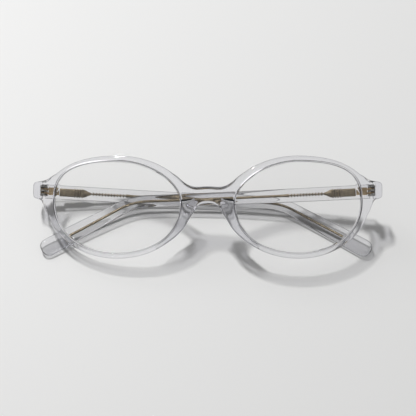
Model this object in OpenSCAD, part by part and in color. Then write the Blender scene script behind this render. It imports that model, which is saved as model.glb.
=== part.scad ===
/* [Front] */
// Thickness of the front sheet
front_t = 3.8; // [3.2:0.1:4.6]
// Radius that the front is curved to, round the face
wrap_r = 385; // [300:5:600]
// Width of each lens opening
lens_w = 49.7; // [44:0.1:52]
// Height of each lens opening
lens_h = 35.8; // [30:0.1:40]
// Distance between the two lens openings
between_lenses = 21; // [18:0.5:24]
// Rim width above and below the lens
rim_w = 2.25; // [1.8:0.05:3]
// Rim width beside the lens, towards the temple and the nose
rim_side_w = 3.5; // [3:0.05:4.2]
// Height of the bridge's upper edge over the lens centre
bridge_top = 8; // [6:0.1:9.5]
// Height of the bridge's lower edge over the lens centre
bridge_low = 1.5; // [-1:0.1:3]
// Reach of an endpiece beyond the lens opening
endpiece_w = 8.7; // [8:0.1:9.5]
// Height of an endpiece
endpiece_h = 6.5; // [6:0.1:8]
// Height of the hinges over the lens centre
hinge_up = 7; // [5.5:0.1:8]

/* [Lenses] */
// Thickness of a lens
lens_t = 2; // [1.4:0.1:2.4]
// Radius of the front surface of a lens
lens_r = 150; // [120:5:220]
// Depth of the groove that holds the lens edge
groove_d = 0.6; // [0.4:0.05:0.9]
// Width of the groove
groove_w = 1; // [0.7:0.05:1.2]
// Clearance round a lens in its rim
lens_gap = 0.02; // [0.01:0.01:0.08]

/* [Nose pads] */
// Width of a pad at its top, as far as the rim is wide
pad_w = 5.4; // [4.6:0.1:5.8]
// How far a pad stands out behind its rim
pad_d = 3.8; // [3:0.1:4.6]
// Angle at which a pad faces the nose
pad_splay = 30; // [20:1:40]

/* [Hinges] */
// Distance of a hinge axis outside the lens opening
hinge_out = 4.6; // [4.4:0.05:4.8]
// Distance of the hinge axes behind the middle of the bridge
hinge_back = 10.2; // [9.8:0.1:12]
// Radius of the hinge barrels
barrel_r = 1.3; // [1.15:0.05:1.35]
// Height of one barrel
barrel_h = 0.75; // [0.7:0.05:0.9]
// Gap between neighbouring barrels
barrel_gap = 0.06; // [0.04:0.01:0.1]
// Radius of the hinge screw
screw_r = 0.5; // [0.4:0.05:0.6]
// Radial clearance of the screw in the barrels
screw_gap = 0.04; // [0.02:0.01:0.08]
// Radius of the screw head
head_r = 1; // [0.8:0.05:1.2]
// Thickness of a hinge leaf
leaf_t = 0.8; // [0.6:0.05:1]
// Length of a hinge leaf along the temple
leaf_l = 4.1; // [3.8:0.1:4.2]
// Depth to which the barrels are sunk in the temple and in the endpiece
barrel_sunk = 0.85; // [0.7:0.05:0.9]
// Clearance round the barrels in their notches
barrel_seat = 0.1; // [0.05:0.01:0.15]

/* [Temples] */
// Height of a temple at its hinge
temple_h = 5.6; // [5:0.1:6.2]
// Height of a temple at the ear bend
bend_h = 5; // [4.4:0.1:5.6]
// Height of the temple tip
tip_h = 6.9; // [6.2:0.1:7.6]
// Thickness of a temple at its hinge
temple_t = 2.8; // [2.8:0.1:3.2]
// Thickness of the temple tip
tip_t = 3; // [2.6:0.1:3.2]
// Length from the hinge to the ear bend
bend_at = 89; // [87:0.5:90]
// Radius of the ear bend
bend_r = 25; // [20:1:30]
// Fall of the straight part, in degrees
shaft_fall = 2.4; // [2:0.1:3]
// Fall of the tip, in degrees
tip_fall = 29.4; // [28:0.1:31]
// Length of the tip behind the ear bend
tip_l = 34.5; // [32:0.1:35]
// Outward bow of a temple at its middle
bow = 5.2; // [4:0.1:5.6]
// Length over which the temple bows
bow_l = 130; // [125:1:140]
// Inward curl of the tip towards the head
curl = 2.6; // [2:0.1:3]
// Clearance between a temple end and the endpiece when open
butt_gap = 0.1; // [0.08:0.01:0.15]

/* [Core wires] */
// Height of the flat blade of a core wire
blade_h = 3; // [2.4:0.1:3.2]
// Thickness of the blade
blade_t = 0.9; // [0.7:0.05:1]
// Start of the blade, from the hinge
blade_at = 5.7; // [5.7:0.1:6.4]
// Length of the plain part of the blade
blade_l = 5.4; // [4:0.1:7]
// Pitch of the ribs across the blade
rib_pitch = 1; // [0.8:0.05:1.2]
// Width and thickness of the wire behind the blade
wire_w = 1; // [0.8:0.05:1.2]
// Clearance round a core wire in its temple
core_gap = 0.02; // [0.01:0.01:0.05]

/* [Lying on a table] */
// Fold of the upper temple past square, in degrees
upper_fold = 1; // [0.9:0.05:1.15]
// Fold of the lower temple short of square, in degrees
lower_fold = 2.9; // [2.7:0.05:3.2]
// Tilt of the front, brow up, in degrees
lay_tilt = 25.2; // [10:0.01:30]
// Lean of the front towards its right end, in degrees
lay_roll = -4.08; // [-8:0.01:0]
// Sideways place of the middle of the bridge
lay_x = -0.52; // [-5:0.01:5]
// Place of the middle of the bridge along the table, away from the viewer
lay_y = -0.82; // [-5:0.01:5]
// Height of the middle of the bridge over the table
lay_z = 18.67; // [10:0.01:25]

/* [Hidden] */
$fn = 64;

eye_x = (lens_w + between_lenses) / 2;
eye_step = 5;
widest_outer = 3;
widest_inner = 1.5;
open_powers = [2.75, 1.83, 2.15, 2.15];
rim_powers = [2.32, 1.9, 2, 2];
sheet_reach = 12;

front_w = between_lenses + 2 * lens_w + 2 * endpiece_w;
axis_x = between_lenses / 2 + lens_w + hinge_out;
inner_face = barrel_r - barrel_sunk;
pitch = barrel_h + barrel_gap;
hinge_h = 5 * barrel_h + 4 * barrel_gap;
endpiece_in = axis_x + inner_face;
bore_r = screw_r + screw_gap;
notch_r = barrel_r + barrel_seat;
leaf_from = notch_r + 0.1;
leaf_h = 3;
arm_from = 0.4;
anchor_d = 1.2;
anchor_r = 0.5;
anchor_in = 0.8;
head_h = 0.5;
slot_w = 0.24;
join = 0.01;
plate_w = 1.8;
plate_at = barrel_r + 0.25;
lens_set = 1.25;
pad_from = 174;
pad_to = 236;
pad_steps = 30;
pad_end_d = 1;
pad_taper = 1.6;
pad_off = 0.3;
pad_inset = 0.3;
pad_line = 4;
pad_rise = 1;

bend_l = bend_r * (tip_fall - shaft_fall) * PI / 180;
cap_r = tip_h / 2;
cap_power = 2.5;
cap_at = bend_at + bend_l + tip_l - cap_r;
curl_from = 85;
curl_l = 45;
blade_end = blade_at + blade_l;
rib_count = 4;
ribs_end = blade_end + rib_count * rib_pitch;
taper_l = 3;
wire_from = ribs_end + taper_l;
wire_short = 9;
wire_end = cap_at - wire_short;
core_out = 0.15;
core_z = -inner_face - temple_t / 2 - core_out;
temple_from = -0.4;

// Signed power of a cosine or sine, for rounded outlines
function bent(c, n) = sign(c) * pow(abs(c), 2 / n);

// Point of an outline round the left lens, grown by up and by side
function eye_point(a, up, side, powers) =
    let (
        c = cos(a),
        s = sin(a),
        level = c > 0 ? widest_outer : widest_inner,
        n = s > 0 ? (c > 0 ? powers[0] : powers[1]) : (c > 0 ? powers[2] : powers[3]),
        high = s > 0 ? lens_h / 2 + up - level : lens_h / 2 + up + level
    )
    [eye_x + (lens_w / 2 + side) * bent(c, n), level + high * bent(s, n)];

module eye_outline(up, side, powers) {
    polygon([for (a = [0:eye_step:359]) eye_point(a, up, side, powers)]);
}

module opening_outline(grow) {
    eye_outline(grow, grow, open_powers);
}

module both_sides() {
    children();
    mirror([1, 0, 0]) children();
}

// Upper edge of the bridge, flaring into the rims, and the arch over the nose,
// whose straight sides run down to a foot and from there to a heel on each rim
bridge_flare = 2;
bridge_reach = between_lenses / 2 + bridge_flare;
over_rise = 4.2;
over_power = 3.65;
over_dip = 0.5;
dip_reach = 10;
arch_w = 7.6;
arch_drop = 0.8;
nose_corner = [arch_w / 2, bridge_low - arch_drop];
nose_foot = [between_lenses / 2 - 0.9, bridge_low - 10.1];
heel_in = 0.1;
nose_heel = eye_point(220, rim_w - heel_in, rim_side_w - heel_in, rim_powers);
function bridge_over(x) =
    bridge_top + over_rise * pow(abs(x) / bridge_reach, over_power)
    - over_dip * pow(sin(180 * min(abs(x) / dip_reach, 1)), 2);
function bridge_under(x) = bridge_low - arch_drop * pow(2 * x / arch_w, 2);

module bridge_outline() {
    polygon(concat(
        [for (i = [-10:10]) let (x = i / 10 * bridge_reach) [x, bridge_over(x)]],
        [nose_heel, nose_foot],
        [for (i = [5:-1:-5]) let (x = i / 10 * arch_w) [x, bridge_under(x)]],
        [[-nose_foot[0], nose_foot[1]], [-nose_heel[0], nose_heel[1]]]
    ));
}

// Corners of the endpiece where it grows out of the rim, above and below,
// inward from its end and away from its edges, as shares of its reach and height
shoulder = [[1.41, 0.23], [0.92, 0.34], [0.58, 0.09]];
throat = [[0.33, 0.05], [0.47, 0.34], [0.62, 0.8], [1.41, 0.8]];
endpiece_r = 1.2;

// Outline of the left endpiece, with a rounded outer end
module endpiece_outline() {
    x = front_w / 2;
    top = hinge_up + endpiece_h / 2;
    low = hinge_up - endpiece_h / 2;
    r = endpiece_r;
    polygon(concat(
        [for (p = shoulder) [x - p[0] * endpiece_w, top + p[1] * endpiece_h]],
        [for (a = [90:-15:0]) [x - r + r * cos(a), top - r + r * sin(a)]],
        [for (a = [0:-15:-90]) [x - r + r * cos(a), low + r + r * sin(a)]],
        [for (p = throat) [x - p[0] * endpiece_w, low - p[1] * endpiece_h]]
    ));
}

module front_outline() {
    difference() {
        union() {
            both_sides() eye_outline(rim_w, rim_side_w, rim_powers);
            both_sides() endpiece_outline();
            bridge_outline();
        }
        both_sides() opening_outline(0);
    }
}

// Curved sheet round the face, between two distances from its middle surface
module wrapped(back, ahead) {
    translate([0, 0, -wrap_r])
    rotate([90, 0, 0])
    difference() {
        cylinder(r = wrap_r + ahead, h = 2 * lens_h, center = true, $fn = 360);
        cylinder(r = wrap_r + back, h = 2 * lens_h + 1, center = true, $fn = 360);
    }
}

// Depth of the curved middle surface behind the bridge, at a distance from the middle
function wrap_back(x) = wrap_r - sqrt(wrap_r * wrap_r - x * x);
lens_lean = asin(eye_x / wrap_r);
endpiece_back = wrap_back(endpiece_in) + front_t / 2;
sheet_behind = hinge_back - wrap_back(axis_x) - front_t / 2;

// Shell of the left lens's own curvature
module lens_shell(from, to) {
    translate([eye_x - lens_r * sin(lens_lean), 0, lens_set - wrap_back(eye_x) - lens_r * cos(lens_lean)])
    rotate([90, 0, 0])
    difference() {
        sphere(r = lens_r + to, $fn = 360);
        sphere(r = lens_r + from, $fn = 360);
    }
}

module left_groove() {
    intersection() {
        translate([0, 0, -sheet_reach])
        linear_extrude(2 * sheet_reach) opening_outline(groove_d + lens_gap);
        lens_shell(-groove_w / 2 - lens_gap, groove_w / 2 + lens_gap);
    }
}

module left_lens_solid() {
    intersection() {
        translate([0, 0, -sheet_reach])
        linear_extrude(2 * sheet_reach) opening_outline(-lens_gap);
        lens_shell(-lens_t / 2, lens_t / 2);
    }
    intersection() {
        translate([0, 0, -sheet_reach])
        linear_extrude(2 * sheet_reach) opening_outline(groove_d);
        lens_shell(-groove_w / 2, groove_w / 2);
    }
}

// Block that carries the left hinge, behind the curved sheet
module left_endpiece_block() {
    translate([0, 0, -hinge_back])
    linear_extrude(hinge_back - endpiece_back + front_t / 2)
    intersection() {
        endpiece_outline();
        translate([endpiece_in, hinge_up - endpiece_h / 2])
        square([endpiece_w, endpiece_h]);
    }
}

// Notch in the endpiece round the barrels, open at the top for the screw
module endpiece_notch() {
    translate([-notch_r, -hinge_h / 2 - barrel_seat, -1])
    cube([2 * notch_r, hinge_h + endpiece_h, 1 + plate_at + barrel_seat]);
}

// The same notch in the end of the temple
module temple_notch() {
    translate([-notch_r, -hinge_h / 2 - barrel_seat, -notch_r])
    cube([notch_r + leaf_from, hinge_h + temple_h, 2 * notch_r]);
}

module front_body() {
    difference() {
        union() {
            intersection() {
                translate([0, 0, -sheet_reach])
                linear_extrude(2 * sheet_reach) front_outline();
                wrapped(-front_t / 2, front_t / 2);
            }
            both_sides() left_endpiece_block();
        }
        both_sides() left_groove();
        both_sides() at_left_hinge() front_leaf(core_gap);
        both_sides() at_left_hinge() endpiece_notch();
    }
}

// At a step along the left pad: the angle round the lens, a point some way out
// from the lens opening, and the direction outwards
function pad_angle(i) = pad_from + (pad_to - pad_from) * i / pad_steps;
function pad_edge(i, off) = eye_point(pad_angle(i), pad_off + off, pad_off + off, open_powers);
function pad_way(i) = let (way = pad_edge(i, pad_w) - pad_edge(i, 0)) way / norm(way);

// Distance from a point, in a direction, to the line through a and b
function reach_to(p, way, a, b) =
    let (across = [b[1] - a[1], a[0] - b[0]])
    (a - p) * across / (way * across);

// Width of the front at a step along the left pad, from the pad's inner edge
function pad_room(i) =
    let (
        p = pad_edge(i, 0),
        way = pad_way(i),
        to_rim = norm(eye_point(pad_angle(i), rim_w, rim_side_w, rim_powers) - p),
        to_side = min(
            reach_to(p, way, nose_corner, nose_foot),
            reach_to(p, way, nose_foot, nose_heel)
        )
    )
    p[1] + way[1] * to_side > nose_heel[1] ? max(to_rim, to_side) : to_rim;

// Outer edge of the left pad, which narrows towards its lower end
function pad_wide(i) = min(pad_w * sqrt(1 - pow(i / pad_steps, pad_taper)), pad_room(i) - pad_inset);
function pad_outer(i) = pad_edge(i, 0) + pad_way(i) * pad_wide(i);

// Round that makes the pad shallower towards its ends
module pad_crown() {
    from = pad_edge(0, rim_side_w / 2);
    to = pad_edge(pad_steps, rim_side_w / 2);
    half = norm(to - from) / 2;
    high = pad_d - pad_end_d;
    r = (half * half + high * high) / (2 * high);
    translate([(from[0] + to[0]) / 2, (from[1] + to[1]) / 2, r - front_t / 2 - pad_d])
    rotate([90, 0, atan2(to[1] - from[1], to[0] - from[0])])
    cylinder(r = r, h = 2 * lens_h, center = true, $fn = 180);
}

// Pad cemented behind the left rim, beside the nose
module left_pad_solid() {
    difference() {
        intersection() {
            translate([0, 0, -front_t / 2 - pad_d])
            linear_extrude(front_t / 2 + pad_d)
            polygon(concat(
                [for (i = [0:pad_steps]) pad_outer(i)],
                [for (i = [pad_steps - 1:-1:0]) pad_edge(i, 0)]
            ));
            pad_crown();
        }
        wrapped(-front_t / 2 - core_gap, sheet_reach);
        translate([between_lenses / 2 - pad_line, 0, -front_t / 2 - pad_rise])
        rotate([0, pad_splay, 0])
        translate([-lens_h, -lens_h, -lens_h])
        cube([2 * lens_h, 2 * lens_h, lens_h]);
    }
}

// Frame of the left hinge: x towards the temple tip, z towards the face
module at_left_hinge() {
    translate([axis_x, hinge_up, -hinge_back]) mirror([1, 0, 0]) children();
}

// Turns a folded temple about its hinge, past square by an angle
module fold(past) {
    rotate([0, -past, 0]) children();
}

module left_hinge_frame() {
    at_left_hinge() fold(upper_fold) children();
}

module right_hinge_frame() {
    mirror([1, 0, 0]) at_left_hinge() fold(-lower_fold) children();
}

// Number of a barrel counted up from the middle one, and its foot
function barrel_foot(i) = i * pitch - barrel_h / 2;

module barrel(i) {
    translate([0, barrel_foot(i), 0])
    rotate([-90, 0, 0])
    cylinder(r = barrel_r, h = barrel_h);
}

module screw_hole() {
    translate([0, -hinge_h, 0])
    rotate([-90, 0, 0])
    cylinder(r = bore_r, h = 2 * hinge_h);
}

// Arm from a barrel to its leaf, in the hinge frame
module front_arm(i) {
    translate([-barrel_r, barrel_foot(i), 0])
    cube([leaf_t, barrel_h, plate_at + barrel_seat]);
}

// Plate and anchor of the front leaf, from the barrels into the front
module front_leaf(grow) {
    translate([-barrel_r - grow, -hinge_h / 2 - grow, plate_at])
    cube([plate_w + 2 * grow, hinge_h + 2 * grow, sheet_behind - plate_at + grow]);
    translate([-barrel_r - grow, -leaf_h / 2 - grow, sheet_behind - join])
    cube([plate_w + 2 * grow, leaf_h + 2 * grow, anchor_d + join + grow]);
}

module front_hinge_solid() {
    difference() {
        union() {
            for (i = [-2, 0, 2]) {
                barrel(i);
                front_arm(i);
            }
            front_leaf(0);
        }
        screw_hole();
    }
}

module temple_leaf(grow) {
    translate([leaf_from - grow, -leaf_h / 2 - grow, -inner_face - leaf_t - grow])
    cube([leaf_l + 2 * grow, leaf_h + 2 * grow, leaf_t + 2 * grow]);
    for (x = [leaf_from + anchor_in, leaf_from + leaf_l - anchor_in])
        translate([x, 0, -inner_face - leaf_t - anchor_d / 2 - grow])
        cylinder(r = anchor_r + grow, h = anchor_d);
}

module temple_hinge_solid() {
    difference() {
        union() {
            for (i = [-1, 1]) {
                barrel(i);
                translate([arm_from, barrel_foot(i), -inner_face - leaf_t])
                cube([leaf_from - arm_from + join, barrel_h, leaf_t]);
            }
            temple_leaf(0);
        }
        screw_hole();
    }
}

module screw_solid() {
    top = hinge_h / 2;
    difference() {
        union() {
            translate([0, -top, 0]) rotate([-90, 0, 0]) cylinder(r = screw_r, h = 2 * top + join);
            translate([0, top, 0]) rotate([-90, 0, 0]) cylinder(r = head_r, h = head_h);
        }
        translate([-2 * head_r, top + head_h / 2, -slot_w / 2]) cube([4 * head_r, head_h, slot_w]);
    }
}

// Route of a temple: x along, y up and z inward, at a length from the hinge
function turn_at(s) = shaft_fall + min(max(s - bend_at, 0), bend_l) * 180 / PI / bend_r;
function route_x(s) =
    min(s, bend_at) * cos(shaft_fall) + bend_r * (sin(turn_at(s)) - sin(shaft_fall))
    + max(0, s - bend_at - bend_l) * cos(tip_fall);
function route_y(s) =
    -min(s, bend_at) * sin(shaft_fall) - bend_r * (cos(shaft_fall) - cos(turn_at(s)))
    - max(0, s - bend_at - bend_l) * sin(tip_fall);
function route_z(s) = -bow * sin(180 * s / bow_l) + curl * pow(max(0, s - curl_from) / curl_l, 2);

// Height and thickness of a temple along its route
function ease(t) = t * t * (3 - 2 * t);
function share(s, a, b) = ease(min(max((s - a) / (b - a), 0), 1));
function cap_share(s) = s < cap_at ? 1 : pow(max(0, 1 - pow((s - cap_at) / cap_r, cap_power)), 1 / cap_power);
function height_at(s) =
    (temple_h + (bend_h - temple_h) * share(s, 0, bend_at)
    + (tip_h - bend_h) * share(s, bend_at, cap_at)) * cap_share(s);
function thick_at(s) =
    (temple_t + (tip_t - temple_t) * share(s, 0, cap_at)) * (0.4 + 0.6 * cap_share(s));

// Ring of points across a route, with rounded corners
function ring(s, high, thick, depth, power, sides) =
    [for (j = [0:sides - 1])
        let (
            a = (j + 0.5) * 360 / sides,
            up = high / 2 * bent(sin(a), power),
            across = thick / 2 * bent(cos(a), power)
        )
        [route_x(s) + up * sin(turn_at(s)), route_y(s) + up * cos(turn_at(s)), depth + route_z(s) + across]];

module swept(rings) {
    n = len(rings);
    k = len(rings[0]);
    polyhedron(
        points = [for (r = rings) each r],
        faces = concat(
            [[for (j = [k - 1:-1:0]) j]],
            [for (i = [0:n - 2], j = [0:k - 1])
                each [[i * k + j, i * k + (j + 1) % k, (i + 1) * k + j],
                    [i * k + (j + 1) % k, (i + 1) * k + (j + 1) % k, (i + 1) * k + j]]],
            [[for (j = [0:k - 1]) (n - 1) * k + j]]
        )
    );
}

function steps(from, to, n) = [for (i = [0:n]) from + (to - from) * i / n];

temple_stations = concat(
    steps(temple_from, bend_at, 16),
    steps(bend_at + bend_l / 4, bend_at + bend_l, 3),
    steps(bend_at + bend_l + tip_l / 8, cap_at, 6),
    [for (a = [20:15:80]) cap_at + cap_r * sin(a)],
    [cap_at + cap_r * sin(88)]
);

module temple_solid() {
    difference() {
        swept([for (s = temple_stations)
            ring(s, height_at(s), thick_at(s), -inner_face - temple_t / 2, 3.4, 16)]);
        core_solid(core_gap, -1);
        temple_leaf(core_gap);
        temple_notch();
        translate([butt_gap - temple_h, -temple_h, -3 * temple_t])
        cube([temple_h, 2 * temple_h, 4 * temple_t]);
    }
}

// Core wire: flat blade, ribs, a taper, then a beaded and a plain wire
rib_d = 0.35;
bead_count = 12;
bead_pitch = 1;
function core_high(s) = s < ribs_end ? blade_h : blade_h + (wire_w - blade_h) * share(s, ribs_end, wire_from);
function core_thick(s) = s < ribs_end ? blade_t : blade_t + (wire_w - blade_t) * share(s, ribs_end, wire_from);
function core_power(s) = s < ribs_end ? 9 : 2.4;
function core_ring(s, grow, more) =
    ring(s, core_high(s) + more + 2 * grow, core_thick(s) + more + 2 * grow, core_z, core_power(s), 8);

module core_solid(grow, start) {
    swept(concat(
        [for (s = [start, blade_at + blade_l / 2, blade_end]) core_ring(s, grow, 0)],
        [for (i = [0:rib_count - 1], part = [[0.1, 1], [0.5, 1], [0.6, 0], [0.95, 0]])
            core_ring(blade_end + (i + part[0]) * rib_pitch, grow, part[1] * rib_d)],
        [for (s = steps(ribs_end + rib_pitch / 10, wire_from, 4)) core_ring(s, grow, 0)],
        [for (i = [0:bead_count - 1], part = [[0.4, 0], [0.5, rib_d], [0.9, rib_d], [1, 0]])
            core_ring(wire_from + (i + part[0]) * bead_pitch, grow, part[1])],
        [for (s = steps(wire_from + (bead_count + 4) * bead_pitch, bend_at, 9)) core_ring(s, grow, 0)],
        [for (s = steps(bend_at + bend_l / 4, bend_at + bend_l, 3)) core_ring(s, grow, 0)],
        [for (s = steps(bend_at + bend_l + tip_l / 8, wire_end + grow, 4)) core_ring(s, grow, 0)]
    ));
}

module lay() {
    translate([lay_x, lay_y, lay_z]) rotate([lay_tilt, 0, 0]) rotate([0, lay_roll, 0]) children();
}

module front() { color([0.85, 0.87, 0.9, 0.4]) lay() front_body(); }
module left_lens() { color([0.9, 0.95, 1, 0.3]) lay() left_lens_solid(); }
module right_lens() { color([0.9, 0.95, 1, 0.3]) lay() mirror([1, 0, 0]) left_lens_solid(); }
module left_nose_pad() { color([0.8, 0.82, 0.88, 0.5]) lay() left_pad_solid(); }
module right_nose_pad() { color([0.8, 0.82, 0.88, 0.5]) lay() mirror([1, 0, 0]) left_pad_solid(); }
module left_temple() { color([0.82, 0.84, 0.9, 0.5]) lay() left_hinge_frame() temple_solid(); }
module right_temple() { color([0.82, 0.84, 0.9, 0.5]) lay() right_hinge_frame() temple_solid(); }
module left_core_wire() { color([0.45, 0.42, 0.36]) lay() left_hinge_frame() core_solid(0, blade_at); }
module right_core_wire() { color([0.45, 0.42, 0.36]) lay() right_hinge_frame() core_solid(0, blade_at); }
module left_front_hinge() { color([0.4, 0.4, 0.38]) lay() at_left_hinge() front_hinge_solid(); }
module right_front_hinge() { color([0.4, 0.4, 0.38]) lay() mirror([1, 0, 0]) at_left_hinge() front_hinge_solid(); }
module left_temple_hinge() { color([0.75, 0.55, 0.3]) lay() left_hinge_frame() temple_hinge_solid(); }
module right_temple_hinge() { color([0.75, 0.55, 0.3]) lay() right_hinge_frame() temple_hinge_solid(); }
module left_hinge_screw() { color([0.6, 0.6, 0.6]) lay() at_left_hinge() screw_solid(); }
module right_hinge_screw() { color([0.6, 0.6, 0.6]) lay() mirror([1, 0, 0]) at_left_hinge() screw_solid(); }

front();
left_lens();
right_lens();
left_nose_pad();
right_nose_pad();
left_temple();
right_temple();
left_core_wire();
right_core_wire();
left_front_hinge();
right_front_hinge();
left_temple_hinge();
right_temple_hinge();
left_hinge_screw();
right_hinge_screw();
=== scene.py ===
import itertools
import math

import bmesh
import bpy
import numpy as np
from mathutils import Matrix, Vector
from mathutils.geometry import delaunay_2d_cdt

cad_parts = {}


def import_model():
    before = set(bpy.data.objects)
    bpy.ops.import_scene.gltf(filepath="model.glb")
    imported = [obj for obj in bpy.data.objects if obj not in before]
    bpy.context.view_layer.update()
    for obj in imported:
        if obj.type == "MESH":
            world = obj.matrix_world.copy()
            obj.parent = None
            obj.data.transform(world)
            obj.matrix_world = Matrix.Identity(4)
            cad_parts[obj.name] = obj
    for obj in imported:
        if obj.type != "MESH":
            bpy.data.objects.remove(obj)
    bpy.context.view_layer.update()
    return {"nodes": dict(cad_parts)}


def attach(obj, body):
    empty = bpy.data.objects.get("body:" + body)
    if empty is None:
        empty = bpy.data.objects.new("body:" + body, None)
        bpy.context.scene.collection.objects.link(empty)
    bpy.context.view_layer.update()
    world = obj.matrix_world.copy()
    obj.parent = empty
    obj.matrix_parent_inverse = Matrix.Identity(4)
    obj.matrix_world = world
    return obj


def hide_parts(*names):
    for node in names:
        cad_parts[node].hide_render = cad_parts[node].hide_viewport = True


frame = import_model()

# Sizes in millimetres, in the frame of the front: x towards the wearer's left, v up, w towards the viewer
MM = 0.001

# Front: sheet, lens openings and rims. A power of 2 makes a quarter of an oval round, more makes it fuller
FRONT_T = 3.8
WRAP_R = 385
LENS_W, LENS_H = 49.7, 35.8
BETWEEN = 21
EYE_X = (LENS_W + BETWEEN) / 2
WIDEST_OUTER, WIDEST_INNER = 3, 1.5
OPEN_POWERS = [2.75, 1.83, 2.15, 2.15]
RIM_POWERS = [2.32, 1.9, 2, 2]
RIM_W, RIM_SIDE_W = 2.25, 3.5
FRONT_EDGE_R, BACK_EDGE_R, OPENING_EDGE_R = 0.7, 1.15, 0.5

# Bridge: its hump, the arch under it and the straight sides beside the nose
BRIDGE_TOP, BRIDGE_LOW = 8, 1.5
BRIDGE_REACH, BRIDGE_RISE, BRIDGE_POWER = 2, 4.2, 3.65
DIP_D, DIP_REACH = 0.5, 10
ARCH_REACH, ARCH_FALL = 3.8, 0.8
NOSE_IN, NOSE_FALL = 0.9, 10.1
HEEL_AT, HEEL_IN = math.radians(220), 0.1
BRIDGE_FILLET = 1.2

# Endpieces: shoulder and throat are shares of their width and height, from the outer corners
ENDPIECE_W, ENDPIECE_H, ENDPIECE_R = 8.7, 6.5, 1.2
END_X = BETWEEN / 2 + LENS_W + ENDPIECE_W
SHOULDER = [(1.41, 0.23), (0.92, 0.34), (0.58, 0.09)]
THROAT = [(0.33, 0.05), (0.47, 0.34), (0.62, 0.8), (1.41, 0.8)]
ENDPIECE_FILLET = 1.6
BLOCK_EDGE_R, BLOCK_INSET = 0.45, 0.02

# Lenses and their grooves
LENS_T, LENS_R, LENS_SET = 2, 150, 1.25
GROOVE_D, GROOVE_W = 0.75, 1
LENS_GAP, LENS_CHAMFER = 0.06, 0.25
BEVEL_GAP, BEVEL_SIDE_GAP = 0.1, 0.05

# Nose pads
PAD_W, PAD_D, PAD_END_D = 5.4, 3.8, 1
PAD_SPLAY, PAD_LINE, PAD_LINE_D = math.radians(30), 6.5, 1
PAD_FROM, PAD_TO, PAD_OFF = math.radians(174), math.radians(236), 0.3
PAD_TAPER, PAD_FILLET = 1.6, 0.8
PAD_LEAST_D, PAD_GAP = 0.15, 0.03
PAD_SIDE_SHARE, PAD_TOP_SHARE, PAD_LOW_SHARE = 0.14, 0.06, 0.35

# Temples: a shaft, a bend and a tip with a round cap
TEMPLE_H, BEND_H, TIP_H = 5.6, 5, 6.9
TEMPLE_T, TIP_T = 2.8, 3
TEMPLE_POWER = 3.4
BEND_AT, BEND_R, TIP_L = 89, 25, 34.5
SHAFT_FALL, TIP_FALL = math.radians(2.4), math.radians(29.4)
BEND_L = BEND_R * (TIP_FALL - SHAFT_FALL)
BOW, BOW_L = 5.2, 130
CURL, CURL_FROM, CURL_L = 2.6, 85, 45
CAP_R = TIP_H / 2
CAP_AT = BEND_AT + BEND_L + TIP_L - CAP_R
CAP_POWER = 2.5
CAP_THIN, CAP_THIN_POWER = 0.25, 0.8
BUTT_R, BUTT_GAP = 0.35, 0.16

# Core wires: a flat blade, ribs, a taper, beads and a plain end
BLADE_AT, BLADE_L, BLADE_H, BLADE_T, BLADE_CHAMFER = 5.66, 5.44, 3, 0.9, 0.06
RIBS, RIB_PITCH, RIB_D = 4, 1, 0.35
TAPER_L, TAPER_IN = 3, 0.1
BEADS, BEAD_PITCH, BEAD_D, NECK_D = 12, 1.2, 0.35, 0.5
WIRE_W, WIRE_IN, PLAIN_GAP, WIRE_END_GAP = 1, 0.15, 2, 9
BLADE_POWER, WIRE_POWER = 6, 2.2

# Hinges, in a frame of their own: x along the temple, y up and z inward from the screw's axis
HINGE_UP, HINGE_OUT, HINGE_BACK = 7, 4.6, 10.2
AXIS_X = BETWEEN / 2 + LENS_W + HINGE_OUT
INNER_FACE = 0.45
BARREL_R, BARREL_H, BARREL_GAP, BARREL_CHAMFER, BORE_R = 1.3, 0.75, 0.06, 0.1, 0.54
HINGE_H = 5 * BARREL_H + 4 * BARREL_GAP
NOTCH_R, NOTCH_GAP, NOTCH_TOP, NOTCH_PAST = 1.4, 0.1, 6, 1
NOTCH_LOW = -HINGE_H / 2 - NOTCH_GAP
LEAF_T, LEAF_H, LEAF_L = 0.8, 3, 4.1
LEAF_FROM, LEAF_CHAMFER, LEAF_PROUD = NOTCH_R + 0.1, 0.12, 0.02
ARM_FROM, ARM_JOIN = 0.4, 0.3
PLATE_AT, PLATE_T, PLATE_IN = BARREL_R + 0.25, 0.4, 0.02
PRONG_W, PRONG_JOIN, PRONG_PAST = 1.8, 0.2, 1.1
SHEET_BEHIND = HINGE_BACK - WRAP_R + math.sqrt(WRAP_R ** 2 - AXIS_X ** 2) - FRONT_T / 2

# How far each temple is folded past square, and how the whole pair lies
UPPER_FOLD, LOWER_FOLD = math.radians(1), math.radians(-2.9)
LAY_TILT, LAY_ROLL = math.radians(25.2), math.radians(-4.08)
LAY_AT = np.array([-0.52, -0.82, 18.67])

# Spacing of the points on edges and faces, and over how many such steps corners are softened
EDGE_STEP, FACE_STEP, BLOCK_STEP = 0.45, 0.9, 0.25
OPENING_BLUR, BLOCK_BLUR, ENDPIECE_BLUR, OUTLINE_BLUR = 0.8, 0.6, 1.1, 2.5

# Sides of what is swept or turned
TEMPLE_SIDES, WIRE_SIDES, BARREL_SIDES = 48, 24, 40


def turn_x(a):
    return np.array([[1, 0, 0], [0, math.cos(a), -math.sin(a)], [0, math.sin(a), math.cos(a)]])


def turn_y(a):
    return np.array([[math.cos(a), 0, math.sin(a)], [0, 1, 0], [-math.sin(a), 0, math.cos(a)]])


LAY = turn_x(LAY_TILT) @ turn_y(LAY_ROLL)


def placed(points):
    """Points of the front's frame in millimetres, in the row frame in metres."""
    return (np.asarray(points) @ LAY.T + LAY_AT) * MM


def on_side(points, side):
    """Points as made for the wearer's left, or mirrored for the right."""
    return np.asarray(points) * [side, 1, 1]


def flipped(loop):
    """A flat loop on the other side, still counter-clockwise."""
    return loop[::-1] * [-1, 1]


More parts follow.
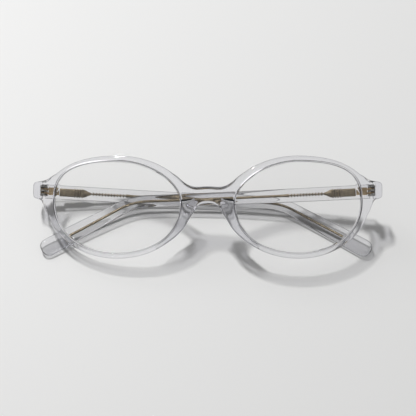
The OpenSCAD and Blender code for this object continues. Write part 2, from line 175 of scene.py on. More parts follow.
# Outlines of the front, as in the CAD
def bent(c, n):
    """Cosine or sine of a round quarter, turned into that of a fuller or slimmer one."""
    return np.sign(c) * np.abs(c) ** (2 / n)


def eye_points(a, up, side, powers):
    """Points round a lens opening at some angles, widened by up and side."""
    c, s = np.cos(a), np.sin(a)
    level = np.where(c > 0, WIDEST_OUTER, WIDEST_INNER)
    n = np.where(s > 0, np.where(c > 0, powers[0], powers[1]), np.where(c > 0, powers[2], powers[3]))
    high = np.where(s > 0, LENS_H / 2 + up - level, LENS_H / 2 + up + level)
    return np.stack([EYE_X + (LENS_W / 2 + side) * bent(c, n), level + high * bent(s, n)], axis=-1)


def eye_outline(up, side, powers, step=0.5):
    return eye_points(np.radians(np.arange(0, 360, step)), up, side, powers)


def bridge_outline():
    """Bridge with a shallow hump, a small arch and straight sides down to the rims."""
    share = np.linspace(-1, 1, 41)
    x = share * (BETWEEN / 2 + BRIDGE_REACH)
    dip = DIP_D * np.sin(np.pi * np.minimum(np.abs(x) / DIP_REACH, 1)) ** 2
    over = np.stack([x, BRIDGE_TOP + BRIDGE_RISE * np.abs(share) ** BRIDGE_POWER - dip], 1)
    under = np.stack([share * ARCH_REACH, BRIDGE_LOW - ARCH_FALL * share ** 2], 1)
    foot = np.array([[BETWEEN / 2 - NOSE_IN, BRIDGE_LOW - NOSE_FALL]])
    heel = eye_points(np.array([HEEL_AT]), RIM_W - HEEL_IN, RIM_SIDE_W - HEEL_IN, RIM_POWERS)
    return np.concatenate([flipped(heel), flipped(foot), under, foot, heel, over[::-1]])


def endpiece_outline():
    """Endpiece with a shoulder above, a throat below and two rounded outer corners."""
    top, low = HINGE_UP + ENDPIECE_H / 2, HINGE_UP - ENDPIECE_H / 2
    a = np.radians(np.arange(90, -1, -15))
    x = END_X - ENDPIECE_R + ENDPIECE_R * np.cos(a)
    fall = ENDPIECE_R - ENDPIECE_R * np.sin(a)
    return np.concatenate([
        [[END_X - p * ENDPIECE_W, top + q * ENDPIECE_H] for p, q in SHOULDER],
        np.stack([x, top - fall], 1),
        np.stack([x, low + fall], 1)[::-1],
        [[END_X - p * ENDPIECE_W, low - q * ENDPIECE_H] for p, q in THROAT],
    ])


def distance(points, outline):
    """Signed distance of flat points from a closed outline, negative inside."""
    p = points[:, None, :]
    a = outline[None]
    b = np.roll(outline, -1, axis=0)[None]
    ab = b - a
    t = np.clip(((p - a) * ab).sum(-1) / np.maximum((ab ** 2).sum(-1), 1e-12), 0, 1)
    near = np.sqrt((((a + t[..., None] * ab) - p) ** 2).sum(-1)).min(1)
    rises = (a[..., 1] > p[..., 1]) != (b[..., 1] > p[..., 1])
    slope = np.where(np.abs(ab[..., 1]) < 1e-12, 1e-12, ab[..., 1])
    cross = a[..., 0] + (p[..., 1] - a[..., 1]) / slope * ab[..., 0]
    inside = (rises & (p[..., 0] < cross)).sum(1) % 2 == 1
    return np.where(inside, -near, near)


def blended(f, g, k):
    """The smaller of two distances, with a fillet of about k between them."""
    h = np.maximum(k - np.abs(f - g), 0) / k
    return np.minimum(f, g) - h * h * k / 4


def front_distance(points):
    """Signed distance from a rim joined with the bridge and an endpiece."""
    rim = distance(points, eye_outline(RIM_W, RIM_SIDE_W, RIM_POWERS, 2))
    f = blended(rim, distance(points, bridge_outline()), BRIDGE_FILLET)
    return blended(f, distance(points, endpiece_outline()), ENDPIECE_FILLET)


def resampled(loop, spacing, blur):
    """A closed loop at even steps, its corners softened over about blur steps."""
    ends = np.concatenate([loop, loop[:1]])
    run = np.concatenate([[0], np.cumsum(np.linalg.norm(np.diff(ends, axis=0), axis=1))])
    n = int(run[-1] / spacing)
    at = np.arange(n) * run[-1] / n
    out = np.stack([np.interp(at, run, ends[:, i]) for i in (0, 1)], 1)
    reach = int(3 * blur) + 1
    steps = np.arange(-reach, reach + 1)
    weights = np.exp(-0.5 * (steps / blur) ** 2)
    weights /= weights.sum()
    return sum(w * np.roll(out, k, axis=0) for k, w in zip(steps, weights))


def opening():
    """Edge of a lens opening."""
    return resampled(eye_outline(0, 0, OPEN_POWERS), EDGE_STEP, OPENING_BLUR)


def front_outline():
    """The outer outline of the whole front, found along rays from the middle of one eye."""
    middle = np.array([EYE_X, 2.0])
    nearest, farthest, marks = 12, 40, 113
    angles = np.radians(np.arange(-179.875, 180, 0.25))
    rays = np.stack([np.cos(angles), np.sin(angles)], 1)
    radii = np.linspace(nearest, farthest, marks)

    def is_inside(radius, ray):
        tried = middle + radius[:, None] * ray
        return np.maximum(front_distance(tried), -tried[:, 0]) < 0

    last = np.array([np.nonzero(is_inside(radii, ray))[0][-1] for ray in rays])
    near, far = radii[last], radii[np.minimum(last + 1, marks - 1)]
    halvings = 14
    for _ in range(halvings):
        mid = (near + far) / 2
        inside = is_inside(mid, rays)
        near, far = np.where(inside, mid, near), np.where(inside, far, mid)
    half = middle + near[:, None] * rays
    middle_gap = 0.02
    half = half[half[:, 0] > middle_gap]
    loop = np.concatenate([half, flipped(half)])
    sharp, soft = resampled(loop, EDGE_STEP, ENDPIECE_BLUR), resampled(loop, EDGE_STEP, OUTLINE_BLUR)
    endpiece_from, over = 62, 3
    return sharp + (soft - sharp) * np.clip((endpiece_from - np.abs(sharp[:, :1])) / over, 0, 1)


def inset(loop, d):
    """A counter-clockwise loop moved inwards by d."""
    run = np.roll(loop, -1, axis=0) - np.roll(loop, 1, axis=0)
    run /= np.linalg.norm(run, axis=1)[:, None]
    return loop + d * np.stack([-run[:, 1], run[:, 0]], 1)


def layer(loop, height):
    """A flat loop at a height, which may differ along it."""
    return np.column_stack([loop, np.broadcast_to(height, len(loop))])


def quarter(r, n):
    """Insets and drops of a rounded edge, from the flat to the wall."""
    a = np.radians(np.linspace(90, 0, n + 1))
    return [(r * (1 - math.cos(t)), r * (1 - math.sin(t))) for t in a]


# The curved sheet and the lens shell
def wrap(points):
    """x, v and height over the middle surface of the sheet, to the front's frame."""
    x, v, z = points.T
    return np.stack([x, v, np.sqrt((WRAP_R + z) ** 2 - x ** 2) - WRAP_R], 1)


def lens_depth(x, v, out):
    """The w of a lens at a place, at a distance out from its middle surface."""
    lean = math.asin(EYE_X / WRAP_R)
    cx = EYE_X - LENS_R * math.sin(lean)
    back = WRAP_R - math.sqrt(WRAP_R ** 2 - EYE_X ** 2)
    cw = LENS_SET - back - LENS_R * math.cos(lean)
    return cw + np.sqrt((LENS_R + out) ** 2 - (x - cx) ** 2 - v ** 2)


# Meshes
def fill(loops, spacing, keep):
    """Triangles between closed loops, with points in rows between them: points and faces."""
    points = np.concatenate(loops)
    edges = []
    base = 0
    for loop in loops:
        edges += [(base + i, base + (i + 1) % len(loop)) for i in range(len(loop))]
        base += len(loop)
    lo, hi = points.min(0), points.max(0)
    xs, ys = np.arange(lo[0], hi[0], spacing), np.arange(lo[1], hi[1], spacing * 0.866)
    rows = np.array([[x + (j % 2) * spacing / 2, y] for j, y in enumerate(ys) for x in xs])
    rows = rows[keep(rows, 0.6 * spacing)]
    verts = [Vector(p) for p in np.concatenate([points, rows])]
    out, _, faces, *_ = delaunay_2d_cdt(verts, edges, [], 0, 1e-6)
    out = np.array([tuple(p) for p in out])
    middles = np.array([out[list(f)].mean(0) for f in faces])
    return out, [list(f) for f, inside in zip(faces, keep(middles, 0)) if inside]


def strips(rings, base=0, closed=False):
    """Quads between rings of as many points each."""
    n, k = len(rings), len(rings[0])
    faces = []
    for i in range(n if closed else n - 1):
        a, b = base + i * k, base + ((i + 1) % n) * k
        faces += [[a + j, b + j, b + (j + 1) % k, a + (j + 1) % k] for j in range(k)]
    return faces


def capped(rings):
    """Points and faces of a solid swept through rings, with a face at each end."""
    n, k = len(rings), len(rings[0])
    ends = [list(range(k)), [(n - 1) * k + j for j in range(k)]]
    return np.concatenate(rings), strips(rings) + ends


def grid_faces(rows, cols):
    """Quads of a grid of points."""
    starts = [(i * cols + j, (i + 1) * cols + j) for i in range(rows - 1) for j in range(cols - 1)]
    return [[a, a + 1, b + 1, b] for a, b in starts]


BOX_FACES = [[0, 1, 3, 2], [4, 6, 7, 5], [0, 4, 5, 1], [2, 3, 7, 6], [0, 2, 6, 4], [1, 5, 7, 3]]


def box_points(lo, hi):
    return np.array(list(itertools.product(*zip(lo, hi))), float)


def shape(name, points, faces, merge=0.0004):
    """A closed solid in the front's frame, as an object. Points closer than merge become one."""
    mesh = bpy.data.meshes.new(name)
    mesh.from_pydata(placed(points).tolist(), [], faces)
    mesh.validate()
    bm = bmesh.new()
    bm.from_mesh(mesh)
    bmesh.ops.remove_doubles(bm, verts=bm.verts, dist=merge * MM)
    bmesh.ops.recalc_face_normals(bm, faces=bm.faces)
    if bm.calc_volume(signed=True) < 0:
        bmesh.ops.reverse_faces(bm, faces=bm.faces)
    bm.to_mesh(mesh)
    bm.free()
    obj = bpy.data.objects.new(name, mesh)
    bpy.context.scene.collection.objects.link(obj)
    return obj


def without_scraps(mesh):
    """Deletes the small loose parts that a boolean leaves beside the main one."""
    bm = bmesh.new()
    bm.from_mesh(mesh)
    seen, parts = set(), []
    for first in bm.faces:
        if first in seen:
            continue
        seen.add(first)
        part, todo = [], [first]
        while todo:
            face = todo.pop()
            part.append(face)
            beside = {f for edge in face.edges for f in edge.link_faces} - seen
            seen |= beside
            todo += beside
        parts.append(part)
    scraps = [face for part in sorted(parts, key=len)[:-1] for face in part]
    bmesh.ops.delete(bm, geom=scraps, context="FACES")
    bm.to_mesh(mesh)
    bm.free()


def carved(obj, other, operation):
    """Joins another solid to an object, or cuts it out."""
    change = obj.modifiers.new("change", "BOOLEAN")
    change.operation = operation
    change.solver = "MANIFOLD"
    change.object = other
    graph = bpy.context.evaluated_depsgraph_get()
    mesh = bpy.data.meshes.new_from_object(obj.evaluated_get(graph))
    obj.modifiers.clear()
    without_scraps(mesh)
    obj.data = mesh
    bpy.data.objects.remove(other)


def finished(obj, body, nodes, material, sharp=38):
    """Gives a piece its material and shading, and the body that it rides on."""
    mesh = obj.data
    mesh.materials.clear()
    mesh.materials.append(material)
    mesh.shade_smooth()
    mesh.set_sharp_from_angle(angle=math.radians(sharp))
    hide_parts(*nodes)
    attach(obj, body)


# Materials
def new_material(name):
    mat = bpy.data.materials.new(name)
    mat.use_nodes = True
    nodes, links = mat.node_tree.nodes, mat.node_tree.links
    return mat, nodes, links, nodes["Principled BSDF"]


def noise(nodes, links, scale, detail):
    """A pattern that stays with the piece, fine where the scale is high."""
    where = nodes.new("ShaderNodeTexCoord")
    tex = nodes.new("ShaderNodeTexNoise")
    tex.inputs["Scale"].default_value = scale
    tex.inputs["Detail"].default_value = detail
    links.new(where.outputs["Object"], tex.inputs["Vector"])
    return tex.outputs["Fac"]


def ranged(nodes, links, value, low, high):
    spread = nodes.new("ShaderNodeMapRange")
    spread.inputs["To Min"].default_value = low
    spread.inputs["To Max"].default_value = high
    links.new(value, spread.inputs["Value"])
    return spread.outputs["Result"]


def ramped(nodes, links, value, marks, colours):
    """A colour that turns from one to another as a value rises between two marks."""
    ramp = nodes.new("ShaderNodeValToRGB")
    for end, mark, colour in zip(ramp.color_ramp.elements, marks, colours):
        end.position = mark
        end.color = (*colour, 1)
    links.new(value, ramp.inputs["Fac"])
    return ramp.outputs["Color"]


def facing(nodes, blend):
    """How far the surface is turned away from where it is seen from."""
    weight = nodes.new("ShaderNodeLayerWeight")
    weight.inputs["Blend"].default_value = blend
    return weight.outputs["Facing"]


def bumped(nodes, links, height, strength, depth, shader):
    bump = nodes.new("ShaderNodeBump")
    bump.inputs["Strength"].default_value = strength
    bump.inputs["Distance"].default_value = depth
    links.new(height, bump.inputs["Height"])
    links.new(bump.outputs["Normal"], shader.inputs["Normal"])


def tint_and_edge_shade(nodes, links, glass, tint, density, edge):
    """A tint in the depth of clear plastic, and painted shade on its base colour where it is seen edge-on,
    in place of the dark lines that refraction of dark surroundings gives at its edges.
    """
    # Painted shade: the base colour turns to the edge colour as the surface turns edge-on
    colour = ramped(nodes, links, facing(nodes, 0.5), (0.28, 0.66), ((1, 1, 1), edge))
    links.new(colour, glass.inputs["Base Color"])
    inside = nodes.new("ShaderNodeVolumeAbsorption")
    inside.inputs["Color"].default_value = (*tint, 1)
    inside.inputs["Density"].default_value = density
    links.new(inside.outputs[0], nodes["Material Output"].inputs["Volume"])


def clear(name, ior, rough, waves, passed, tint=None):
    """Clear plastic that passes the lamps' light on, as a share of it face-on and edge-on."""
    mat, nodes, links, glass = new_material(name)
    glass.inputs["Base Color"].default_value = (1, 1, 1, 1)
    glass.inputs["Transmission Weight"].default_value = 1
    glass.inputs["IOR"].default_value = ior
    # tint holds the plastic's absorption, and the colour of painted shade where it is seen edge-on
    if tint:
        tint_and_edge_shade(nodes, links, glass, *tint)
    smears = noise(nodes, links, scale=900, detail=3)
    links.new(ranged(nodes, links, smears, *rough), glass.inputs["Roughness"])
    bumped(nodes, links, noise(nodes, links, scale=160, detail=2), waves, 0.2 * MM, glass)
    path = nodes.new("ShaderNodeLightPath")
    either = nodes.new("ShaderNodeMath")
    either.operation = "MAXIMUM"
    links.new(path.outputs["Is Shadow Ray"], either.inputs[0])
    links.new(path.outputs["Is Diffuse Ray"], either.inputs[1])
    through = nodes.new("ShaderNodeBsdfTransparent")
    greys = [(share, share, share) for share in passed]
    links.new(ramped(nodes, links, facing(nodes, 0.35), (0.33, 0.45), greys), through.inputs["Color"])
    mix = nodes.new("ShaderNodeMixShader")
    for i, node in enumerate((either, glass, through)):
        links.new(node.outputs[0], mix.inputs[i])
    links.new(mix.outputs[0], nodes["Material Output"].inputs["Surface"])
    return mat


def metal(name, dark, light, rough, scale):
    """Metal with a fine grain between two colours."""
    mat, nodes, links, body = new_material(name)
    body.inputs["Metallic"].default_value = 1
    grain = noise(nodes, links, scale, detail=4)
    links.new(ramped(nodes, links, grain, (0.3, 0.7), (dark, light)), body.inputs["Base Color"])
    links.new(ranged(nodes, links, grain, *rough), body.inputs["Roughness"])
    bumped(nodes, links, grain, 0.15, 0.05 * MM, body)
    return mat


# Absorption colour and density of the acetate, and the colour of the painted shade where it is seen
# edge-on
ACETATE_TINT_AND_EDGE_SHADE = ((0.5, 0.5, 0.62), 50, (0.08, 0.08, 0.11))
ACETATE = clear("clear_acetate", 1.49, (0.01, 0.04), 0.05, (0.84, 0.1), ACETATE_TINT_AND_EDGE_SHADE)
LENS = clear("clear_lens", 1.5, (0, 0.01), 0, (1, 0.9))
WIRE = metal("wire_metal", (0.16, 0.133, 0.088), (0.3, 0.248, 0.168), (0.5, 0.65), 1500)
STEEL = metal("hinge_steel", (0.27, 0.265, 0.25), (0.54, 0.53, 0.5), (0.25, 0.4), 1200)
GILT = metal("hinge_gilt", (0.53, 0.38, 0.21), (0.8, 0.62, 0.38), (0.25, 0.4), 1200)
SCREW = metal("screw_steel", (0.30, 0.30, 0.30), (0.55, 0.55, 0.54), (0.15, 0.3), 1800)


# Front
def on_hinge(points, past, side):
    """From a hinge's own frame, folded past square, to the front's frame."""
    turned = np.asarray(points) @ turn_y(-past).T
    return on_side(turned * [-1, 1, 1] + [AXIS_X, HINGE_UP, -HINGE_BACK], side)


def notch(side, past, lo, hi):
    """The room of a hinge's barrels, a box in the hinge's frame."""
    return shape("notch", on_hinge(box_points(lo, hi), past, side), BOX_FACES)


def endpiece_block(outer, side):
    """The block behind the sheet that carries a hinge, rounded at its back."""
    loop = outer if side > 0 else flipped(outer)
    loop = np.roll(loop, -int(np.argmin(loop[:, 0])), axis=0)
    face_x = AXIS_X + INNER_FACE
    wall = loop[loop[:, 0] > face_x]
    wall = np.concatenate([wall, [[face_x, wall[-1, 1]], [face_x, wall[0, 1]]]])
    wall = inset(resampled(wall, BLOCK_STEP, BLOCK_BLUR), BLOCK_INSET)
    rings = [layer(wall, SHEET_BEHIND - HINGE_BACK + FRONT_T / 2)]
    rings += [layer(inset(wall, d), drop - HINGE_BACK) for d, drop in quarter(BLOCK_EDGE_R, 5)[::-1]]
    points, faces = capped(rings)
    return shape("block", on_side(points, side), faces)


def wall_rings(outer):
    """Rings down the outer wall of the front, rounded at both of its faces."""
    half = FRONT_T / 2
    ahead = [layer(inset(outer, d), half - drop) for d, drop in quarter(FRONT_EDGE_R, 8)]
    return ahead + [layer(inset(outer, d), drop - half) for d, drop in quarter(BACK_EDGE_R, 8)[::-1]]


def opening_rings(loop):
    """Rings through a lens opening, rounded at both faces and grooved for the lens."""
    half = FRONT_T / 2
    depth = lens_depth(np.abs(loop[:, 0]), loop[:, 1], 0)
    level = np.hypot(depth + WRAP_R, loop[:, 0]) - WRAP_R
    edge = quarter(OPENING_EDGE_R, 5)
    profile = [(d, half - drop) for d, drop in edge]
    profile += [(0, level + GROOVE_W / 2), (GROOVE_D, level), (0, level - GROOVE_W / 2)]
    profile += [(d, drop - half) for d, drop in edge[::-1]]
    return [layer(inset(loop, -d), height) for d, height in profile]


def front_piece():
    """The curved sheet with its two openings, and the endpieces' blocks with their notches."""
    outer = front_outline()
    eyes = [opening(), flipped(opening())]
    eyes_in = [inset(eye, -OPENING_EDGE_R) for eye in eyes]
    points, faces, count = [], [], 0
    for rings in [wall_rings(outer)] + [opening_rings(eye) for eye in eyes]:
        points += rings
        faces += strips(rings, count)
        count += len(rings) * len(rings[0])
    for side, edge_r in ((1, FRONT_EDGE_R), (-1, BACK_EDGE_R)):
        rim_in = inset(outer, edge_r)

        def keep(p, gap):
            over = [distance(p, rim_in)] + [-distance(p, eye) for eye in eyes_in]
            return np.max(over, axis=0) < -gap

        flat, cells = fill([rim_in] + eyes_in, FACE_STEP, keep)
        points.append(layer(flat, side * FRONT_T / 2))
        faces += [[count + i for i in cell[::side]] for cell in cells]
        count += len(flat)
    front = shape("clear_front", wrap(np.concatenate(points)), faces, merge=0.02)
    for side in (1, -1):
        carved(front, endpiece_block(outer, side), "UNION")
        lo, hi = (-NOTCH_R, NOTCH_LOW, -NOTCH_PAST), (NOTCH_R, NOTCH_TOP, PLATE_AT + NOTCH_GAP)
        carved(front, notch(side, 0, lo, hi), "DIFFERENCE")
    finished(front, "front_frame", ["front"], ACETATE)


# Lenses
def lens_piece(side, name, node):
    """A meniscus with chamfered edges and a bevel that sits in the groove."""
    edge = opening()
    middle = np.array([EYE_X, 1.0])
    inner, wall, tip = [inset(edge, d) for d in (LENS_GAP + LENS_CHAMFER, LENS_GAP, BEVEL_GAP - GROOVE_D)]
    face = [middle + (inner - middle) * share for share in np.linspace(0.04, 1, 22)]
    high, low = LENS_T / 2 - LENS_CHAMFER, GROOVE_W / 2 - BEVEL_SIDE_GAP
    loops = [(loop, LENS_T / 2) for loop in face]
    loops += [(wall, high), (wall, low), (tip, 0), (wall, -low), (wall, -high)]
    loops += [(loop, -LENS_T / 2) for loop in face[::-1]]
    points, faces = capped([layer(loop, lens_depth(*loop.T, out)) for loop, out in loops])
    finished(shape(name, on_side(points, side), faces), "front_frame", [node], LENS)


# Temples and their core wires, in the frame of a hinge
def route(s):
    """The middle line of a temple at a length from its hinge, and how far it has turned down."""
    s = np.asarray(s, float)
    shaft, tip = np.minimum(s, BEND_AT), np.maximum(s - BEND_AT - BEND_L, 0)
    turn = SHAFT_FALL + np.clip(s - BEND_AT, 0, BEND_L) / BEND_R
    bend_x = BEND_R * (np.sin(turn) - math.sin(SHAFT_FALL))
    bend_y = BEND_R * (math.cos(SHAFT_FALL) - np.cos(turn))
    x = shaft * math.cos(SHAFT_FALL) + bend_x + tip * math.cos(TIP_FALL)
    y = -shaft * math.sin(SHAFT_FALL) - bend_y - tip * math.sin(TIP_FALL)
    z = -BOW * np.sin(np.pi * s / BOW_L) + CURL * (np.maximum(0, s - CURL_FROM) / CURL_L) ** 2
    return x, y, z, turn


def eased(s, a, b):
    """A smooth rise from 0 at a to 1 at b."""
    t = np.clip((np.asarray(s, float) - a) / (b - a), 0, 1)
    return t * t * (3 - 2 * t)


def mixed(a, b, share):
    """A value that goes from a to b as the share goes from 0 to 1."""
    return a + (b - a) * share


TEMPLE_MIDDLE = -INNER_FACE - TEMPLE_T / 2


def ring(s, high, thick, power, sides, within=0):
    """A section of a temple or wire, square across its middle line."""
    a = np.radians((np.arange(sides) + 0.5) * 360 / sides)
    up, across = high / 2 * bent(np.sin(a), power), thick / 2 * bent(np.cos(a), power)
    x, y, z, turn = route(s)
    depth = TEMPLE_MIDDLE - within + z + across
    return np.stack([x + up * np.sin(turn), y + up * np.cos(turn), depth], 1)


def temple_rings():
    shaft_in, bend_in, tip_in = 1.2, 1.2, 1.5
    shaft = np.linspace(shaft_in, BEND_AT, 50)
    bend = np.linspace(BEND_AT + bend_in, BEND_AT + BEND_L, 12)
    tip = np.linspace(BEND_AT + BEND_L + tip_in, CAP_AT, 18)
    cap_angles = (10, 20, 30, 38, 46, 53, 60, 66, 71, 76, 80, 83.5, 86.5, 88.5)
    cap = CAP_AT + CAP_R * np.sin(np.radians(cap_angles))
    stations = [(BUTT_GAP + drop, d) for d, drop in quarter(BUTT_R, 4)]
    stations += [(s, 0) for s in np.concatenate([shaft, bend, tip, cap])]
    rings = []
    for s, less in stations:
        past = max(0, s - CAP_AT) / CAP_R
        left = (1 - past ** CAP_POWER) ** (1 / CAP_POWER)
        high = mixed(mixed(TEMPLE_H, BEND_H, eased(s, 0, BEND_AT)), TIP_H, eased(s, BEND_AT, CAP_AT))
        thick = mixed(TEMPLE_T, TIP_T, eased(s, 0, CAP_AT)) * mixed(CAP_THIN, 1, left ** CAP_THIN_POWER)
        rings.append(ring(s, high * left - 2 * less, thick - 2 * less, TEMPLE_POWER, TEMPLE_SIDES))
    return rings


def repeated(start, count, pitch, cuts):
    """Cuts at shares of a pitch, once for each of some ribs or beads."""
    return [(start + (i + t) * pitch, more) for i in range(count) for t, more in cuts]


def wire_rings():
    """A core wire as a row of cuts: a length from the hinge, and how much fuller the wire is there."""
    ribs_from = BLADE_AT + BLADE_L
    taper_from = ribs_from + RIBS * RIB_PITCH
    beads_from = taper_from + TAPER_L
    plain_from = beads_from + BEADS * BEAD_PITCH + PLAIN_GAP
    rib = ((0.02, -RIB_D), (0.2, -RIB_D), (0.24, RIB_D), (0.7, RIB_D), (0.76, 0))
    bead = ((0.1, -NECK_D), (0.45, -NECK_D), (0.55, BEAD_D), (0.95, BEAD_D))
    cuts = [(BLADE_AT, -2 * BLADE_CHAMFER), (BLADE_AT + BLADE_CHAMFER, 0), (ribs_from, 0)]
    cuts += repeated(ribs_from, RIBS, RIB_PITCH, rib)
    cuts += [(s, 0) for s in np.linspace(taper_from + TAPER_IN, beads_from, 7)]
    cuts += repeated(beads_from, BEADS, BEAD_PITCH, bead)
    cuts += [(s, 0) for s in np.linspace(plain_from, CAP_AT - WIRE_END_GAP, 60)]
    rings = []
    for s, more in cuts:
        share = eased(s, taper_from, beads_from)
        high, thick = mixed(BLADE_H, WIRE_W, share) + more, mixed(BLADE_T, WIRE_W, share) + more
        power = BLADE_POWER if s < taper_from else WIRE_POWER
        rings.append(ring(s, high, thick, power, WIRE_SIDES, WIRE_IN))
    return rings


def swept(name, rings, past, side):
    points, faces = capped(rings)
    return shape(name, on_hinge(points, past, side), faces)


def temple_piece(side, word, past, body):
    temple = swept("clear_%s_temple" % word, temple_rings(), past, side)
    lo, hi = (-NOTCH_R, NOTCH_LOW, -NOTCH_R), (LEAF_FROM, NOTCH_TOP, NOTCH_R)
    carved(temple, notch(side, past, lo, hi), "DIFFERENCE")
    finished(temple, body, ["%s_temple" % word], ACETATE)


def wire_piece(side, word, past, body):
    wire = swept("%s_wire" % word, wire_rings(), past, side)
    finished(wire, body, ["%s_core_wire" % word], WIRE)


# Hinges
def lathe(profile):
    """A ring round the hinge axis from a closed profile of radius and height."""
    turns = np.arange(BARREL_SIDES) * 2 * math.pi / BARREL_SIDES
    rings = [np.array([[r * math.cos(t), y, r * math.sin(t)] for r, y in profile]) for t in turns]
    return np.concatenate(rings), strips(rings, 0, True)


def barrel_foot(i):
    """Foot of a barrel counted up from the middle one."""
    return i * (BARREL_H + BARREL_GAP) - BARREL_H / 2


def barrel(i):
    low = barrel_foot(i)
    top = low + BARREL_H
    edge = BARREL_R - BARREL_CHAMFER
    wall = [(edge, low), (BARREL_R, low + BARREL_CHAMFER), (BARREL_R, top - BARREL_CHAMFER), (edge, top)]
    return lathe([(BORE_R, low)] + wall + [(BORE_R, top)])


def chamfered(lo, hi, c=0.08):
    """A box with chamfered edges."""
    lo, hi = np.array(lo, float), np.array(hi, float)
    points = []
    for corner in box_points((0, 0, 0), (1, 1, 1)):
        for axis in range(3):
            p = np.where(corner > 0, hi - c, lo + c)
            p[axis] = hi[axis] if corner[axis] > 0 else lo[axis]
            points.append(p)
    bm = bmesh.new()
    verts = [bm.verts.new(p) for p in points]
    bmesh.ops.convex_hull(bm, input=verts)
    bm.verts.index_update()
    out = [list(v.co) for v in bm.verts]
    faces = [[v.index for v in f.verts] for f in bm.faces]
    bm.free()
    return np.array(out), faces


def hinge_piece(name, parts, past, side, body, node, material):
    """One leaf of a hinge from its parts, which stay closed bodies of their own."""
    points, faces, count = [], [], 0
    for p, f in parts:
        points.append(p)
        faces += [[count + i for i in face] for face in f]
        count += len(p)
    leaf = shape(name, on_hinge(np.concatenate(points), past, side), faces, merge=0)
    finished(leaf, body, [node], material, sharp=30)


def front_hinge_parts():
    """Three barrels, each with an arm and a prong into the endpiece, and a thin plate."""
    left = -BARREL_R
    parts = []
    for i in (-2, 0, 2):
        low, top = barrel_foot(i), barrel_foot(i) + BARREL_H
        parts.append(barrel(i))
        parts.append(chamfered((left, low, 0), (left + LEAF_T, top, PLATE_AT + PRONG_JOIN)))
        parts.append(chamfered((left, low, PLATE_AT), (left + PRONG_W, top, SHEET_BEHIND + PRONG_PAST)))
    lo = (left + PLATE_IN, PLATE_IN - HINGE_H / 2, PLATE_AT + PLATE_IN)
    parts.append(chamfered(lo, (left + PLATE_T, HINGE_H / 2 - PLATE_IN, SHEET_BEHIND)))
    return parts


def temple_hinge_parts():
    """Two barrels with an arm each, and the leaf in the temple's inner face."""
    back, face = -INNER_FACE - LEAF_T, LEAF_PROUD - INNER_FACE
    parts = []
    for i in (-1, 1):
        low = barrel_foot(i)
        parts.append(barrel(i))
        parts.append(chamfered((ARM_FROM, low, back), (LEAF_FROM + ARM_JOIN, low + BARREL_H, face)))
    lo, hi = (LEAF_FROM, -LEAF_H / 2, back), (LEAF_FROM + LEAF_L, LEAF_H / 2, face)
    parts.append(chamfered(lo, hi, LEAF_CHAMFER))
    return parts


def hinge_pieces(side, word, past, body):
    hinge_piece("%s_hinge_front" % word, front_hinge_parts(), 0, side,
                "front_frame", "%s_front_hinge" % word, STEEL)
    hinge_piece("%s_hinge_temple" % word, temple_hinge_parts(), past, side,
                body, "%s_temple_hinge" % word, GILT)
    screw = frame["nodes"]["%s_hinge_screw" % word]
    screw.data.materials.clear()
    screw.data.materials.append(SCREW)


# Nose pads
def faded(u, low, high):
    """1 in the middle of a run, falling in a round to 0 over a share of it at each end."""
    return 1 - np.clip(1 - np.minimum(u / low, (1 - u) / high), 0, 1) ** 2


def pad_sheet():
    """Points of a pad's seat on the rim, as rows along it and columns across it, with their shares."""
    rows, cols, marks, least = 49, 21, 61, 0.02
    t = np.linspace(0, 1, rows)
    angle = mixed(PAD_FROM, PAD_TO, t)
    inner = eye_points(angle, PAD_OFF, PAD_OFF, OPEN_POWERS)
    across = eye_points(angle, PAD_OFF + PAD_W, PAD_OFF + PAD_W, OPEN_POWERS) - inner
    tried = inner[:, None] + across[:, None] * np.linspace(0, 1, marks)[None, :, None]
    out = front_distance(tried.reshape(-1, 2)).reshape(rows, marks) > -PAD_OFF
    last = np.where(out.any(1), out.argmax(1), marks - 1) / (marks - 1)
    wide = np.minimum(last, np.maximum(np.sqrt(1 - t ** PAD_TAPER), least))
    wide = np.convolve(np.pad(wide, 2, "edge"), np.ones(5) / 5, "valid")
    v = np.linspace(0, 1, cols)
    at = inner[:, None] + across[:, None] * (wide[:, None] * v)[:, :, None]
    return at.reshape(-1, 2).T, np.repeat(t, cols), np.tile(v, rows), grid_faces(rows, cols)


def pad_piece(side, name, node):
    """A wedge over the whole width of the rim beside the nose, deepest beside the lens."""
    (x, y), along, across, grid = pad_sheet()
    bowed = mixed(PAD_END_D, PAD_D, 1 - (2 * along - 1) ** 2)
    splayed = PAD_LINE_D + (x - PAD_LINE) * math.tan(PAD_SPLAY)
    ends = faded(along, PAD_TOP_SHARE, PAD_LOW_SHARE)
    edges = np.minimum(faded(across, PAD_SIDE_SHARE, PAD_SIDE_SHARE), ends)
    deep = np.maximum(blended(bowed, splayed, PAD_FILLET), PAD_LEAST_D) * np.sqrt(edges)
    seat = np.sqrt((WRAP_R - FRONT_T / 2) ** 2 - x ** 2) - WRAP_R - PAD_GAP
    points = np.concatenate([np.stack([x, y, seat - deep], 1), np.stack([x, y, seat], 1)])
    faces = grid + [[len(x) + i for i in face[::-1]] for face in grid]
    pad = shape(name, on_side(points, side), faces, merge=0.03)
    finished(pad, "front_frame", [node], ACETATE)


front_piece()
for side, word, past in ((1, "left", UPPER_FOLD), (-1, "right", LOWER_FOLD)):
    lens_piece(side, "clear_%s_lens" % word, "%s_lens" % word)
    pad_piece(side, "clear_%s_pad" % word, "%s_nose_pad" % word)
    temple_piece(side, word, past, "%s_arm" % word)
    wire_piece(side, word, past, "%s_arm" % word)
    hinge_pieces(side, word, past, "%s_arm" % word)


# Stage, lamps and camera
def floor():
    mesh = bpy.data.meshes.new("floor")
    r = 3.0
    mesh.from_pydata([(-r, -r, 0), (r, -r, 0), (r, r, 0), (-r, r, 0)], [], [[0, 1, 2, 3]])
    obj = bpy.data.objects.new("floor", mesh)
    bpy.context.scene.collection.objects.link(obj)
    mat, _, _, body = new_material("pale_floor")
    body.inputs["Base Color"].default_value = (0.84, 0.84, 0.835, 1)
    body.inputs["Roughness"].default_value = 0.5
    body.inputs["Specular IOR Level"].default_value = 0.2
    mesh.materials.append(mat)


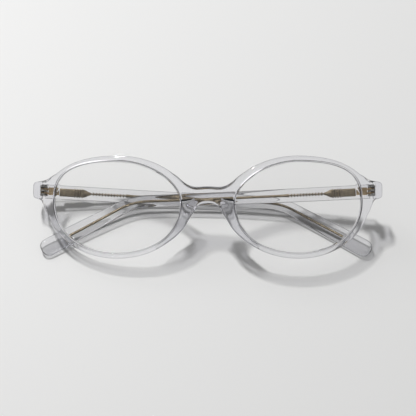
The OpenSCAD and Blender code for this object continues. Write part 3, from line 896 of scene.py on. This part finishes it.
def lamp(name, toward, far, size, power):
    """A square soft lamp that looks at the object from a direction."""
    data = bpy.data.lights.new(name, "AREA")
    data.size = size
    data.energy = power
    obj = bpy.data.objects.new(name, data)
    bpy.context.scene.collection.objects.link(obj)
    at = Vector(toward).normalized() * far
    obj.matrix_world = Matrix.Translation(at) @ at.to_track_quat("Z", "Y").to_matrix().to_4x4()


def world(low, high, full_at, backdrop):
    """Soft light all round, darker towards the horizon, and an even backdrop for the camera."""
    w = bpy.data.worlds.new("studio")
    bpy.context.scene.world = w
    w.use_nodes = True
    nodes, links = w.node_tree.nodes, w.node_tree.links
    where = nodes.new("ShaderNodeTexCoord")
    split = nodes.new("ShaderNodeSeparateXYZ")
    rise = nodes.new("ShaderNodeMapRange")
    rise.interpolation_type = "SMOOTHSTEP"
    rise.inputs["From Max"].default_value = full_at
    rise.inputs["To Min"].default_value = low
    rise.inputs["To Max"].default_value = high
    links.new(where.outputs["Generated"], split.inputs["Vector"])
    links.new(split.outputs["Z"], rise.inputs["Value"])
    path = nodes.new("ShaderNodeLightPath")
    mix = nodes.new("ShaderNodeMix")
    mix.data_type = "FLOAT"
    mix.inputs[3].default_value = backdrop
    links.new(path.outputs["Is Camera Ray"], mix.inputs[0])
    links.new(rise.outputs["Result"], mix.inputs[2])
    links.new(mix.outputs[0], nodes["Background"].inputs["Strength"])
    nodes["Background"].inputs["Color"].default_value = (1, 1, 1, 1)


def camera(below, far, wide, aim):
    """Looks almost square at the front, a little from below it, and sees a width where it aims."""
    along, up, normal = [Vector(axis) for axis in LAY.T]
    back = normal * math.cos(below) - up * math.sin(below)
    right = (along - along.project(back)).normalized()
    data = bpy.data.cameras.new("camera")
    data.lens = data.sensor_width * far / wide
    data.clip_start = 0.01
    obj = bpy.data.objects.new("camera", data)
    bpy.context.scene.collection.objects.link(obj)
    turn = Matrix((right, back.cross(right), back)).transposed().to_4x4()
    at = Vector(placed([aim])[0]) + back * far
    obj.matrix_world = Matrix.Translation(at) @ turn
    bpy.context.scene.camera = obj


floor()
lamp("key", toward=(-0.35, 0.54, 1.1), far=1.6, size=0.14, power=17)
lamp("window", toward=(-0.9, 0.9, 1.1), far=0.6, size=0.34, power=0.56)
world(low=0.05, high=0.27, full_at=0.75, backdrop=0.9)
camera(below=math.radians(4.5), far=0.45, wide=0.1623, aim=(0.08, -0.47, 0))
bpy.context.scene.view_settings.view_transform = "Standard"
